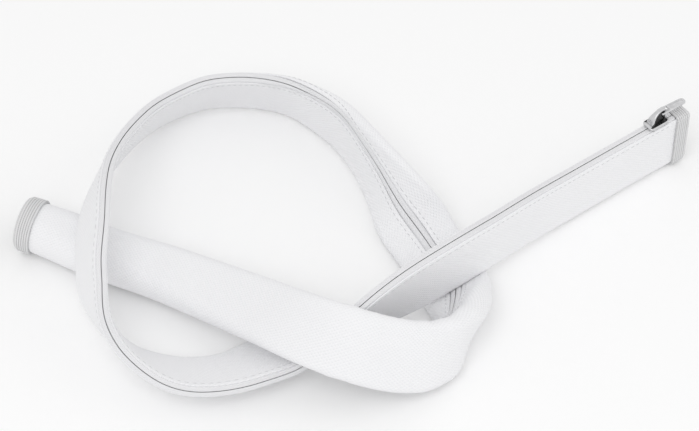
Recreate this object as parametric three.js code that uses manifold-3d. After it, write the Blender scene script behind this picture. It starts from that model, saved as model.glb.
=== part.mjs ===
// A zip-up textile cable sleeve tied in one loose overhand knot, lying on a flat surface.
// Millimetres, +Z up. The straight run with the slider lies along X.
import * as THREE from 'three';
import * as BufferGeometryUtils from 'three/addons/utils/BufferGeometryUtils.js';
import Module from 'manifold-3d';

// The sleeve
const OUTER_DIAMETER = 24.5;
const WALL = 0.8;
const GAP = 0.3;

// The zip, measured across the sleeve's wall from its outer face, inwards positive
const OPENING_HALF = 3.2;
const COIL_HALF = 2.0;
const COIL_SLOT_HALF = 0.6;
const COIL_TOP = -0.5;
const COIL_BOTTOM = 0.9;
const TAPE_HALF = 1.5;
const TAPE_THICKNESS = 0.4;
const TAPE_TOP = COIL_BOTTOM + 0.3;

// The end bindings
const BINDING_LENGTH = 7.0;
const BINDING_RIBS = 6;
const BINDING_THICKNESS = 0.7;
const RIB_HEIGHT = 0.4;
const BINDING_LINING = 0.3;

// The slider
const SLIDER_TO_BINDING = 4.1;
const SLIDER_LENGTH = 12.5;
const SLIDER_HALF_WIDTH = 3.6;
const SLIDER_PLATE = 1.5;
const FLANGE_INNER = COIL_HALF + 0.5;
const LOWER_PLATE_HALF = 2.2;
const NECK_THICKNESS = 0.6;
const NECK_LENGTH = 3.6;
const NECK_TO_NOSE = 1.05;
const BRIDGE_WIDTH = 2.2;
const BRIDGE_HEIGHT = 7.2;
const BRIDGE_BAR = 1.1;
const TAB_LENGTH = 15;
const TAB_WIDTH = 4.6;
const TAB_WINDOW_LENGTH = 3.9;
const TAB_THICKNESS = 0.9;
const TAB_REST_ANGLE = 3;
const TAB_CURVE_STEPS = 10;

// The sampling of the long pieces
const ROWS_PER_STATION = 2;
const COLUMNS = 23;
const TURN_ROWS_FROM = 18;
const TURN_ROWS_TO = 22;

// The route: x, y, z of the middle, lean of the wide axis in degrees, flattened thickness,
// and where the zip is round the section in quarter turns.
const ROUTE = [
  [-136.5, 78.7, 13.2, -84, 24.3, -1.0],
  [-131.5, 71.3, 12.7, -84, 23.2, -1.0],
  [-124.6, 60.6, 11.3, -85, 20.0, -1.0],
  [-116.2, 44.1, 10.8, -86, 19.0, -1.0],
  [-106.6, 28.1, 10.9, -84, 18.0, -1.0],
  [-98.0, 12.3, 12.3, -82, 16.0, -1.0],
  [-88.4, -11.2, 15.9, -80, 13.0, -1.0],
  [-80.2, -37.0, 22.4, -75, 10.5, -1.0],
  [-73.2, -62.0, 29.8, -68, 8.5, -1.0],
  [-62.8, -83.0, 31.7, -57, 7.2, -1.0],
  [-46.3, -96.9, 24.1, -45, 7.0, -1.0],
  [-30.1, -104.5, 18.9, -28, 7.0, -1.0],
  [-13.8, -103.8, 17.9, -2, 7.0, -1.0],
  [0.6, -90.6, 13.4, 46, 6.4, -1.0],
  [12.0, -67.9, 4.4, 87, 6.0, -1.0],
  [16.1, -47.5, 3.4, 90, 6.0, -1.0],
  [17.8, -33.0, 6.5, 76, 6.0, -1.0],
  [17.4, -17.0, 14.8, 38, 6.2, -0.95],
  [20.2, 9.2, 17.9, 12, 6.2, -0.65],
  [22.5, 36.0, 17.6, 2, 6.2, -0.33],
  [18.2, 56.8, 17.5, -8, 6.2, -0.17],
  [11.2, 73.4, 17.1, -17, 6.2, -0.07],
  [-0.7, 85.5, 16.9, -20, 6.2, 0.0],
  [-10.9, 92.8, 16.8, -21, 6.2, 0.0],
  [-21.6, 98.1, 16.7, -22, 6.2, 0.0],
  [-39.9, 99.8, 16.8, -23, 6.2, 0.0],
  [-57.7, 95.5, 19.5, -23, 6.2, 0.0],
  [-81.5, 81.3, 26.8, -22, 6.2, 0.0],
  [-102.1, 63.2, 34.7, -22, 6.2, 0.0],
  [-116.6, 45.6, 38.9, -24, 6.2, 0.0],
  [-126.2, 31.8, 38.2, -25, 6.2, 0.0],
  [-132.3, 23.9, 34.1, -22, 6.2, 0.0],
  [-137.7, 14.5, 28.1, -14, 6.2, 0.0],
  [-141.1, 0.1, 21.2, 8, 6.2, 0.0],
  [-140.8, -12.9, 17.2, 26, 6.2, 0.0],
  [-136.6, -25.7, 13.8, 43, 6.2, 0.0],
  [-125.1, -41.4, 10.3, 61, 6.2, 0.0],
  [-107.8, -51.5, 9.5, 65, 6.2, 0.0],
  [-93.0, -54.1, 8.6, 69, 6.2, 0.0],
  [-75.5, -56.7, 8.3, 70, 6.2, 0.0],
  [-59.6, -61.0, 12.1, 52, 6.2, 0.0],
  [-42.9, -67.5, 18.5, 22, 6.2, 0.0],
  [-20.2, -71.9, 26.0, 4, 6.6, 0.0],
  [3.7, -72.8, 28.3, 0, 7.0, 0.0],
  [31.5, -70.3, 25.1, 0, 7.0, 0.0],
  [62.0, -66.0, 19.9, 0, 7.0, 0.0],
  [85.0, -64.4, 17.6, 0, 7.0, 0.0],
  [108.0, -64.2, 17.4, 0, 7.0, 0.0],
  [143.0, -64.2, 17.4, 0, 7.0, 0.0],
  [156.5, -64.2, 17.4, 0, 8.0, 0.0],
];
// The middle of the finished piece's outline on the floor, and its lowest point.
const ORIGIN = new THREE.Vector3(3.81, -2.71, -0.534);

const PERIMETER = Math.PI * OUTER_DIAMETER;
const SHARP_CORNER = 1.2;
const LAST = ROUTE.length - 1;

// A smooth value of every route column at the place t, counted in stations.
function station(t) {
  const i = Math.min(Math.floor(t), LAST - 1);
  const f = t - i;
  const b = ROUTE[i];
  const c = ROUTE[i + 1];
  const a = i > 0 ? ROUTE[i - 1] : b.map((v, k) => 2 * v - c[k]);
  const d = i + 2 <= LAST ? ROUTE[i + 2] : c.map((v, k) => 2 * v - b[k]);
  return b.map((v, k) => 0.5 * (2 * v + (c[k] - a[k]) * f
    + (2 * a[k] - 5 * v + 4 * c[k] - d[k]) * f * f
    + (3 * v - a[k] - 3 * c[k] + d[k]) * f * f * f));
}

function middle(t) {
  const [x, y, z] = station(Math.min(Math.max(t, 0), LAST));
  return new THREE.Vector3(x, y, z).sub(ORIGIN);
}

// The section's place and its axes: along the route, across the wide way, and through the thin way.
function frameAt(t) {
  const along = middle(Math.min(t + 0.05, LAST)).sub(middle(Math.max(t - 0.05, 0))).normalize();
  const side = new THREE.Vector3().crossVectors(along, new THREE.Vector3(0, 0, 1)).normalize();
  const rise = new THREE.Vector3().crossVectors(side, along);
  const row = station(t);
  const lean = THREE.MathUtils.degToRad(row[3]);
  const wide = rise.multiplyScalar(Math.cos(lean)).addScaledVector(side, Math.sin(lean));
  const thin = new THREE.Vector3().crossVectors(along, wide);
  return { centre: middle(t), along, wide, thin, thickness: row[4], turn: row[5] };
}

// The flattened tube's section: a rounded rectangle with the sleeve's whole perimeter.
// Its zip side has crisp corners where the zip runs along the narrow edge.
function sectionPoint(frame, distance, depth) {
  const b = frame.thickness / 2;
  const soft = b - 0.3;
  const crisp = THREE.MathUtils.smoothstep(frame.turn, -1, 0);
  const r1 = soft + (Math.min(SHARP_CORNER, soft) - soft) * crisp;
  const r2 = soft;
  const a = (PERIMETER - 4 * b + (4 - Math.PI) * (r1 + r2)) / 4;
  const q1 = Math.max(r1 - depth, 0.1);
  const q2 = Math.max(r2 - depth, 0.1);
  const p = a - depth;
  const q = b - depth;
  const straight = (length, from, to) => ({ length, point: (k) => [
    from[0] + (to[0] - from[0]) * k,
    from[1] + (to[1] - from[1]) * k,
  ] });
  const corner = (radius, cx, cy, inner, start) => ({ length: radius * Math.PI / 2, point: (k) => [
    cx + inner * Math.cos(start + k * Math.PI / 2),
    cy + inner * Math.sin(start + k * Math.PI / 2),
  ] });
  const pieces = [
    straight(b - r1, [p, 0], [p, q - q1]),
    corner(r1, p - q1, q - q1, q1, 0),
    straight(2 * a - r1 - r2, [p - q1, q], [q2 - p, q]),
    corner(r2, q2 - p, q - q2, q2, Math.PI / 2),
    straight(2 * (b - r2), [-p, q - q2], [-p, q2 - q]),
    corner(r2, q2 - p, q2 - q, q2, Math.PI),
    straight(2 * a - r1 - r2, [q2 - p, -q], [p - q1, -q]),
    corner(r1, p - q1, q1 - q, q1, 1.5 * Math.PI),
    straight(b - r1, [p, q1 - q], [p, 0]),
  ];
  let rest = THREE.MathUtils.euclideanModulo(distance + frame.turn * PERIMETER / 4, PERIMETER);
  for (const piece of pieces) {
    if (rest <= piece.length) {
      return piece.point(piece.length > 0 ? rest / piece.length : 0);
    }
    rest -= piece.length;
  }
  return pieces[0].point(0);
}

function place(frame, w, v) {
  return frame.centre.clone().addScaledVector(frame.wide, w).addScaledVector(frame.thin, v);
}

// A point on the wall at a distance round the section from the zip's middle.
function wallPoint(frame, distance, depth) {
  const [w, v] = sectionPoint(frame, distance, depth);
  return place(frame, w, v);
}

// A point on the zip's flat strip, which doesn't bend across its width.
function zipPoint(frame, across, depth) {
  const here = sectionPoint(frame, 0, 0);
  const next = sectionPoint(frame, 0.05, 0);
  const back = sectionPoint(frame, -0.05, 0);
  const way = new THREE.Vector2(next[0] - back[0], next[1] - back[1]).normalize();
  return place(frame, here[0] + way.x * across - way.y * depth, here[1] + way.y * across + way.x * depth);
}

function volumeOf(positions, faces) {
  let sum = 0;
  const [a, b, c] = [new THREE.Vector3(), new THREE.Vector3(), new THREE.Vector3()];
  for (let i = 0; i < faces.length; i += 3) {
    a.fromArray(positions, faces[i] * 3);
    b.fromArray(positions, faces[i + 1] * 3);
    c.fromArray(positions, faces[i + 2] * 3);
    sum += a.dot(b.cross(c)) / 6;
  }
  return sum;
}

// A closed geometry from points and faces, turned so that its faces point out.
function closed(points, faces) {
  const positions = points.flatMap((p) => p.toArray());
  if (volumeOf(positions, faces) < 0) {
    for (let i = 0; i < faces.length; i += 3) {
      [faces[i], faces[i + 1]] = [faces[i + 1], faces[i]];
    }
  }
  const geometry = new THREE.BufferGeometry();
  geometry.setAttribute('position', new THREE.Float32BufferAttribute(positions, 3));
  geometry.setIndex(faces);
  geometry.computeVertexNormals();
  return geometry;
}

const sleeveColumns = range(OPENING_HALF, PERIMETER - OPENING_HALF, COLUMNS);

// A long strip with an outer and an inner face, swept over the frames and closed all round.
function strip(frames, columns, outer, inner) {
  const points = [];
  for (const frame of frames) {
    columns.forEach((value) => points.push(outer(frame, value)));
    columns.forEach((value) => points.push(inner(frame, value)));
  }
  const m = columns.length;
  const index = (row, side, column) => row * 2 * m + side * m + column;
  const faces = [];
  const quad = (a, b, c, d) => faces.push(a, b, c, a, c, d);
  for (let r = 0; r < frames.length - 1; r += 1) {
    for (let k = 0; k < m - 1; k += 1) {
      quad(index(r, 0, k), index(r + 1, 0, k), index(r + 1, 0, k + 1), index(r, 0, k + 1));
      quad(index(r, 1, k + 1), index(r + 1, 1, k + 1), index(r + 1, 1, k), index(r, 1, k));
    }
    quad(index(r, 1, 0), index(r + 1, 1, 0), index(r + 1, 0, 0), index(r, 0, 0));
    quad(index(r, 0, m - 1), index(r + 1, 0, m - 1), index(r + 1, 1, m - 1), index(r, 1, m - 1));
  }
  const end = frames.length - 1;
  for (let k = 0; k < m - 1; k += 1) {
    quad(index(0, 0, k), index(0, 0, k + 1), index(0, 1, k + 1), index(0, 1, k));
    quad(index(end, 0, k + 1), index(end, 0, k), index(end, 1, k), index(end, 1, k + 1));
  }
  return closed(points, faces);
}

// A ring round the sleeve from a closed profile of (distance along, depth) pairs.
function collar(profile, frameOf) {
  const points = [];
  const around = [...sleeveColumns, PERIMETER - 1.8, PERIMETER, PERIMETER + 1.8];
  for (const distance of around) {
    for (const [along, depth] of profile) {
      points.push(wallPoint(frameOf(along), distance, depth));
    }
  }
  const n = profile.length;
  const faces = [];
  for (let i = 0; i < around.length; i += 1) {
    const next = ((i + 1) % around.length) * n;
    for (let j = 0; j < n; j += 1) {
      const after = (j + 1) % n;
      faces.push(i * n + j, next + j, next + after, i * n + j, next + after, i * n + after);
    }
  }
  return closed(points, faces);
}

function range(from, to, count) {
  return Array.from({ length: count }, (_, i) => from + (to - from) * i / (count - 1));
}

// The sleeve, its zip tapes and the coils on them
const startSpeed = middle(0.2).distanceTo(middle(0)) / 0.2;
const endSpeed = middle(LAST).distanceTo(middle(LAST - 0.2)) / 0.2;
const rows = range(0, LAST, LAST * ROWS_PER_STATION + 1)
  .flatMap((t) => (t >= TURN_ROWS_FROM && t < TURN_ROWS_TO ? [t, t + 0.5 / ROWS_PER_STATION] : [t]));
const sleeveFrames = rows.map(frameAt);
const zipStart = (BINDING_LENGTH + GAP) / startSpeed;
const zipEnd = LAST - (BINDING_LENGTH + GAP) / endSpeed;
const zipFrames = [zipStart, ...rows.filter((t) => t > zipStart + 0.1 && t < zipEnd - 0.1), zipEnd].map(frameAt);

const sleeve = strip(
  sleeveFrames,
  sleeveColumns,
  (frame, s) => wallPoint(frame, s, 0),
  (frame, s) => wallPoint(frame, s, WALL),
);

function zipStrip(sign, from, to, top, bottom) {
  return strip(
    zipFrames,
    [from * sign, to * sign],
    (frame, s) => zipPoint(frame, s, top),
    (frame, s) => zipPoint(frame, s, bottom),
  );
}

// The bindings fold over both ends, ribbed outside and plain inside.
const inside = WALL + GAP;
const ribs = range(0, BINDING_LENGTH, 2 * BINDING_RIBS + 1)
  .map((along, i) => [along, -GAP - BINDING_THICKNESS - (i % 2 ? RIB_HEIGHT : 0)]);
const bindingProfile = [
  ...ribs,
  [BINDING_LENGTH, -GAP],
  [-GAP, -GAP],
  [-GAP, inside],
  [BINDING_LENGTH, inside],
  [BINDING_LENGTH, inside + BINDING_LINING],
  [-GAP - BINDING_THICKNESS, inside + BINDING_LINING],
  [-GAP - BINDING_THICKNESS, -GAP - BINDING_THICKNESS],
];

// A frame at a distance in from an end, carried on past the end in a straight line.
function endFrame(distance, atStart) {
  const speed = atStart ? startSpeed : endSpeed;
  const inward = Math.max(distance, 0) / speed;
  const frame = frameAt(atStart ? inward : LAST - inward);
  if (distance < 0) {
    frame.centre.addScaledVector(frame.along, atStart ? distance : -distance);
  }
  return frame;
}

// The slider, its sizes taken from the coil that it runs on
const wasm = await Module();
wasm.setup();

function solid(geometry) {
  const plain = geometry.clone();
  plain.deleteAttribute('normal');
  plain.deleteAttribute('uv');
  const merged = BufferGeometryUtils.mergeVertices(plain, 1e-4);
  return new wasm.Manifold(new wasm.Mesh({
    numProp: 3,
    vertProperties: new Float32Array(merged.attributes.position.array),
    triVerts: new Uint32Array(merged.index.array),
  }));
}

function geometryOf(body) {
  const mesh = body.getMesh();
  const geometry = new THREE.BufferGeometry();
  geometry.setAttribute('position', new THREE.BufferAttribute(new Float32Array(mesh.vertProperties), 3));
  geometry.setIndex(new THREE.BufferAttribute(new Uint32Array(mesh.triVerts), 1));
  geometry.computeVertexNormals();
  return geometry;
}

function box(x0, x1, y0, y1, z0, z1) {
  const geometry = new THREE.BoxGeometry(x1 - x0, y1 - y0, z1 - z0);
  return geometry.translate((x0 + x1) / 2, (y0 + y1) / 2, (z0 + z1) / 2);
}

// Sleeve top at z = 0, the zip's middle at y = 0, and the slider's middle at x = 0.
const plateBottom = -COIL_TOP + GAP;
const plateTop = plateBottom + SLIDER_PLATE;
const lowerTop = -(TAPE_TOP + TAPE_THICKNESS + GAP);
const half = SLIDER_LENGTH / 2;
const noseX = half - SLIDER_HALF_WIDTH;
const plateShape = new THREE.Shape();
plateShape.moveTo(-half + 0.8, -SLIDER_HALF_WIDTH + 0.5);
plateShape.lineTo(-half + 1.8, -SLIDER_HALF_WIDTH);
plateShape.lineTo(noseX, -SLIDER_HALF_WIDTH);
plateShape.absarc(noseX, 0, SLIDER_HALF_WIDTH, -Math.PI / 2, Math.PI / 2, false);
plateShape.lineTo(-half + 1.8, SLIDER_HALF_WIDTH);
plateShape.lineTo(-half + 0.8, SLIDER_HALF_WIDTH - 0.5);
plateShape.lineTo(-half, SLIDER_HALF_WIDTH - 1.6);
plateShape.lineTo(-half, -SLIDER_HALF_WIDTH + 1.6);
plateShape.closePath();
const plate = new THREE.ExtrudeGeometry(plateShape, {
  depth: SLIDER_PLATE,
  bevelEnabled: false,
  curveSegments: 6,
}).translate(0, 0, plateBottom);
const flangeBottom = 0.4;
const flange = (side) => box(-half + 1.8, noseX, side > 0 ? FLANGE_INNER : -SLIDER_HALF_WIDTH,
  side > 0 ? SLIDER_HALF_WIDTH : -FLANGE_INNER, flangeBottom, plateBottom + 0.1);
const neck = box(half - NECK_TO_NOSE - NECK_LENGTH, half - NECK_TO_NOSE, -NECK_THICKNESS / 2, NECK_THICKNESS / 2, lowerTop - 0.1, plateBottom + 0.1);
const lower = box(-half + 1.2, half - 0.8, -LOWER_PLATE_HALF, LOWER_PLATE_HALF, lowerTop - 0.9, lowerTop);

// The bridge is a strap over the plate, open underneath for the tab's bar.
const bridgeFrom = -half + 1.45;
const bridgeTo = half - 1.25;
const bridgeTop = plateTop + BRIDGE_HEIGHT;
const crestX = bridgeTo - 2.6;
const bridgeShape = new THREE.Shape();
bridgeShape.moveTo(bridgeFrom, plateTop - 0.2);
bridgeShape.lineTo(bridgeTo, plateTop - 0.2);
bridgeShape.bezierCurveTo(bridgeTo + 0.6, bridgeTop - 1.5, bridgeTo - 0.4, bridgeTop, crestX, bridgeTop - 0.1);
bridgeShape.bezierCurveTo(crestX - 3.2, bridgeTop - 0.4, bridgeFrom, bridgeTop - 3.6, bridgeFrom, plateTop - 0.2);
const eyeFrom = bridgeFrom + 1.5;
const eyeTo = bridgeTo - BRIDGE_BAR;
const eyeTop = bridgeTop - BRIDGE_BAR;
const eye = new THREE.Path();
eye.moveTo(eyeFrom, plateTop + 0.25);
eye.lineTo(eyeTo, plateTop + 0.25);
eye.bezierCurveTo(eyeTo + 0.5, eyeTop - 1.1, eyeTo - 0.2, eyeTop, crestX - 0.1, eyeTop - 0.1);
eye.bezierCurveTo(crestX - 2.6, eyeTop - 0.4, eyeFrom, eyeTop - 3.0, eyeFrom, plateTop + 0.25);
bridgeShape.holes.push(eye);
const bridge = new THREE.ExtrudeGeometry(bridgeShape, {
  depth: BRIDGE_WIDTH,
  bevelEnabled: false,
  curveSegments: 8,
}).rotateX(Math.PI / 2).translate(0, BRIDGE_WIDTH / 2, 0);
const sliderBody = [flange(1), flange(-1), neck, lower, bridge]
  .reduce((body, piece) => body.add(solid(piece)), solid(plate));

// The pull tab: a flat link with a window round the bridge and a long tongue
const PIVOT_X = crestX;
const PIVOT_Z = eyeTop - 1.3;
const windowHalf = BRIDGE_WIDTH / 2 + 0.4;
const tabShape = new THREE.Shape();
const tabHalf = TAB_WIDTH / 2;
tabShape.moveTo(-0.9, -tabHalf + 0.6);
tabShape.lineTo(-0.3, -tabHalf);
tabShape.lineTo(TAB_LENGTH * 0.4, -tabHalf);
tabShape.lineTo(TAB_LENGTH * 0.5, -tabHalf * 0.84);
tabShape.lineTo(TAB_LENGTH - tabHalf, -tabHalf * 0.84);
tabShape.absarc(TAB_LENGTH - tabHalf, 0, tabHalf * 0.84, -Math.PI / 2, Math.PI / 2, false);
tabShape.lineTo(TAB_LENGTH * 0.5, tabHalf * 0.84);
tabShape.lineTo(TAB_LENGTH * 0.4, tabHalf);
tabShape.lineTo(-0.3, tabHalf);
tabShape.lineTo(-0.9, tabHalf - 0.6);
tabShape.closePath();
const opening = new THREE.Path();
opening.moveTo(0.5, -windowHalf);
opening.lineTo(0.5, windowHalf);
opening.lineTo(0.5 + TAB_WINDOW_LENGTH, windowHalf);
opening.lineTo(0.5 + TAB_WINDOW_LENGTH, -windowHalf);
opening.closePath();
tabShape.holes.push(opening);
const tab = new THREE.ExtrudeGeometry(tabShape, {
  depth: TAB_THICKNESS,
  bevelEnabled: false,
  curveSegments: TAB_CURVE_STEPS,
}).translate(0, 0, -TAB_THICKNESS / 2);
const recess = box(TAB_LENGTH * 0.5, TAB_LENGTH - 2.6, -1.1, 1.1, TAB_THICKNESS / 2 - 0.25, TAB_THICKNESS);
const tabBody = solid(tab).subtract(solid(recess));

const white = (color, roughness) => new THREE.MeshStandardMaterial({ color, roughness, metalness: 0 });
const metal = new THREE.MeshStandardMaterial({ color: 0xc8c9cb, roughness: 0.28, metalness: 1 });
const part = new THREE.Group();

function add(name, geometry, material, parent = part) {
  const mesh = new THREE.Mesh(geometry, material);
  mesh.name = name;
  parent.add(mesh);
  return mesh;
}

add('sleeve_fabric', sleeve, white(0xf0f0f2, 0.85));
for (const [side, sign] of [['left', 1], ['right', -1]]) {
  add(`zip_tape_${side}`, zipStrip(sign, COIL_SLOT_HALF, TAPE_HALF, TAPE_TOP, TAPE_TOP + TAPE_THICKNESS),
    white(0xe6e7ea, 0.85));
  add(`zip_coil_${side}`, zipStrip(sign, COIL_SLOT_HALF, COIL_HALF, COIL_TOP, COIL_BOTTOM),
    white(0xe4e5e8, 0.45));
}
add('end_binding_left', collar(bindingProfile, (d) => endFrame(d, true)), white(0xd2d3d6, 0.8));
add('end_binding_right', collar(bindingProfile, (d) => endFrame(d, false)), white(0xd2d3d6, 0.8));

// The slider's place on the straight run, a clear stretch in from the right binding, found by halving.
const sliderX = ROUTE[LAST][0] - BINDING_LENGTH - SLIDER_TO_BINDING - half;
let [low, high] = [LAST - 3, LAST];
for (let i = 0; i < 40; i += 1) {
  const t = (low + high) / 2;
  [low, high] = station(t)[0] < sliderX ? [t, high] : [low, t];
}
const runFrame = frameAt(low);
const sliderGroup = new THREE.Group();
sliderGroup.position.copy(wallPoint(runFrame, 0, 0));
add('slider_body', geometryOf(sliderBody), metal, sliderGroup);
const tabMesh = add('pull_tab', geometryOf(tabBody), metal.clone(), sliderGroup);
tabMesh.position.set(PIVOT_X, 0, PIVOT_Z);
tabMesh.rotation.y = THREE.MathUtils.degToRad(TAB_REST_ANGLE);
part.add(sliderGroup);

export default part;
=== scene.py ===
"""A zip-up textile cable sleeve tied in one loose overhand knot, lying on a pale floor.

Everything long is modelled straight, as it comes off the loom, and then laid along the knot's route.
Sizes are in metres, +Z up. The straight run that carries the slider lies along X.
"""

import math

import bmesh
import bpy
import numpy as np
from bpy.props import FloatProperty, FloatVectorProperty, IntProperty, PointerProperty
from mathutils import Matrix, Vector


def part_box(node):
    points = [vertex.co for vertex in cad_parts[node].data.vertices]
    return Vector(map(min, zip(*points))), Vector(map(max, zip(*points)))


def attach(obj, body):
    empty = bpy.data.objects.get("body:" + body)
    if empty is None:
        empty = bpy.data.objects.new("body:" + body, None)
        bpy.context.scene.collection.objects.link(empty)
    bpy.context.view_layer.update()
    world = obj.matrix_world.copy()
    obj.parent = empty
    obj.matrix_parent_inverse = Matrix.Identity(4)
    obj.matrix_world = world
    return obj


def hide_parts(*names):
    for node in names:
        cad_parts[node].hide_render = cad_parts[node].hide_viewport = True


bl_info = {
    "name": "Zip-up Cable Sleeve",
    "version": (1, 0, 0),
    "blender": (4, 2, 0),
    "location": "3D View > Sidebar > Sleeve",
    "description": "A woven cable sleeve with a zip along it, tied in a loose overhand knot",
    "category": "Add Mesh",
}

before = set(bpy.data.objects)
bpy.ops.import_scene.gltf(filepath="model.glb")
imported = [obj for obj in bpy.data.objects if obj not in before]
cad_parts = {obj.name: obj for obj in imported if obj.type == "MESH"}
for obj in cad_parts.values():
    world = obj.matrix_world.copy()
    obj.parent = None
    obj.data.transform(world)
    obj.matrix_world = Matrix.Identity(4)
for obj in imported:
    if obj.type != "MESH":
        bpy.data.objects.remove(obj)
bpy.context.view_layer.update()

MM = 0.001

# The knot's route in millimetres: the middle of the tube, the lean of its wide way in degrees,
# its flattened thickness, and where the zip is round it in quarter turns.
ROUTE = np.array([
    [-136.5, 78.7, 13.2, -84, 24.3, -1.0],
    [-131.5, 71.3, 12.7, -84, 23.2, -1.0],
    [-124.6, 60.6, 11.3, -85, 20.0, -1.0],
    [-116.2, 44.1, 10.8, -86, 19.0, -1.0],
    [-106.6, 28.1, 10.9, -84, 18.0, -1.0],
    [-98.0, 12.3, 12.3, -82, 16.0, -1.0],
    [-88.4, -11.2, 15.9, -80, 13.0, -1.0],
    [-80.2, -37.0, 22.4, -75, 10.5, -1.0],
    [-73.2, -62.0, 29.8, -68, 8.5, -1.0],
    [-62.8, -83.0, 31.7, -57, 7.2, -1.0],
    [-46.3, -96.9, 24.1, -45, 7.0, -1.0],
    [-30.1, -104.5, 18.9, -28, 7.0, -1.0],
    [-13.8, -103.8, 17.9, -2, 11.0, -1.0],
    [0.6, -90.6, 13.4, 46, 14.0, -1.0],
    [12.0, -67.9, 4.4, 87, 6.0, -1.0],
    [16.1, -47.5, 3.4, 90, 6.0, -1.0],
    [17.8, -33.0, 6.5, 76, 6.0, -1.0],
    [17.4, -17.0, 14.8, 38, 6.2, -0.95],
    [20.2, 9.2, 17.9, 12, 6.2, -0.65],
    [22.5, 36.0, 17.6, 2, 6.2, -0.33],
    [18.2, 56.8, 17.5, -8, 6.2, -0.17],
    [11.2, 73.4, 17.1, -17, 6.2, -0.07],
    [-0.7, 85.5, 16.9, -20, 6.2, 0.0],
    [-10.9, 92.8, 16.8, -21, 6.2, 0.0],
    [-21.6, 98.1, 16.7, -22, 6.2, 0.0],
    [-39.9, 99.8, 16.8, -23, 6.2, 0.0],
    [-57.7, 95.5, 19.5, -23, 6.2, 0.0],
    [-81.5, 81.3, 26.8, -22, 6.2, 0.0],
    [-102.1, 63.2, 34.7, -22, 6.2, 0.0],
    [-116.6, 45.6, 38.9, -24, 6.2, 0.0],
    [-126.2, 31.8, 38.2, -25, 6.2, 0.0],
    [-132.3, 23.9, 34.1, -22, 6.2, 0.0],
    [-137.7, 14.5, 28.1, -14, 6.2, 0.0],
    [-141.1, 0.1, 21.2, 8, 6.2, 0.0],
    [-140.8, -12.9, 17.2, 26, 6.2, 0.0],
    [-136.6, -25.7, 13.8, 43, 6.2, 0.0],
    [-125.1, -41.4, 10.3, 61, 6.2, 0.0],
    [-107.8, -51.5, 9.5, 65, 6.2, 0.0],
    [-93.0, -54.1, 8.6, 69, 6.2, 0.0],
    [-75.5, -56.7, 8.3, 70, 6.2, 0.0],
    [-59.6, -61.0, 12.1, 52, 6.2, 0.0],
    [-42.9, -67.5, 18.5, 22, 6.2, 0.0],
    [-20.2, -71.9, 26.0, 4, 6.6, 0.0],
    [3.7, -72.8, 28.3, 0, 7.0, 0.0],
    [31.5, -70.3, 25.1, 0, 7.0, 0.0],
    [62.0, -66.0, 19.9, 0, 7.0, 0.0],
    [85.0, -64.4, 17.6, 0, 7.0, 0.0],
    [108.0, -64.2, 17.4, 0, 7.0, 0.0],
    [143.0, -64.2, 17.4, 0, 7.0, 0.0],
    [156.5, -64.2, 17.4, 0, 8.0, 0.0],
])
# The middle of the finished piece's outline on the floor, and its lowest point.
ORIGIN = np.array([3.81, -2.71, -0.534])
TUBE_DIAMETER = 24.5 * MM
PERIMETER = math.pi * TUBE_DIAMETER
# The flattened tube's corners beside the zip are crisp where the strip was folded before it was sewn.
SHARP_CORNER = 1.2 * MM
STEP = 0.5 * MM
SMOOTHING = 5.0 * MM
FINE_STATIONS = 6000


def stations(t):
    """The route's columns at the places t, counted in stations."""
    last = len(ROUTE) - 1
    padded = np.vstack([2 * ROUTE[0] - ROUTE[1], ROUTE, 2 * ROUTE[-1] - ROUTE[-2]])
    i = np.clip(np.floor(t).astype(int), 0, last - 1)
    f = (t - i)[:, None]
    a, b, c, d = padded[i], padded[i + 1], padded[i + 2], padded[i + 3]
    return 0.5 * (
        2 * b + (c - a) * f + (2 * a - 5 * b + 4 * c - d) * f**2 + (3 * b - a - 3 * c + d) * f**3
    )


def smoothed(values, width):
    """Each column averaged along the route with a soft window, its ends held in place."""
    reach = int(3 * width / STEP)
    window = np.exp(-0.5 * (np.arange(-reach, reach + 1) * STEP / width) ** 2)
    window /= window.sum()
    out = []
    for column in values.T:
        front = 2 * column[0] - column[reach:0:-1]
        back = 2 * column[-1] - column[-2 : -reach - 2 : -1]
        out.append(np.convolve(np.concatenate([front, column, back]), window, "valid"))
    return np.array(out).T


def unit(v):
    return v / np.linalg.norm(v, axis=1, keepdims=True)


def ease(k):
    """A soft step from 0 to 1."""
    return k * k * (3 - 2 * k)


def survey_route():
    """A close table of the route by distance: middles, the section's axes, thickness and turn."""
    fine = stations(np.linspace(0, len(ROUTE) - 1, FINE_STATIONS))
    fine[:, :3] = (fine[:, :3] - ORIGIN) * MM
    fine[:, 4] *= MM
    length = np.concatenate([[0], np.cumsum(np.linalg.norm(np.diff(fine[:, :3], axis=0), axis=1))])
    places = np.arange(0, length[-1], STEP)
    even = np.array([np.interp(places, length, column) for column in fine.T]).T
    even = smoothed(even, SMOOTHING)
    middle = even[:, :3]
    along = unit(np.gradient(middle, axis=0))
    side = unit(np.cross(along, [0, 0, 1]))
    rise = np.cross(side, along)
    lean = np.radians(even[:, 3:4])
    wide = rise * np.cos(lean) + side * np.sin(lean)
    length = np.concatenate([[0], np.cumsum(np.linalg.norm(np.diff(middle, axis=0), axis=1))])
    return {
        "length": length,
        "middle": middle,
        "along": along,
        "wide": wide,
        "thin": np.cross(along, wide),
        "half": even[:, 4] / 2,
        "turn": even[:, 5],
    }


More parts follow.
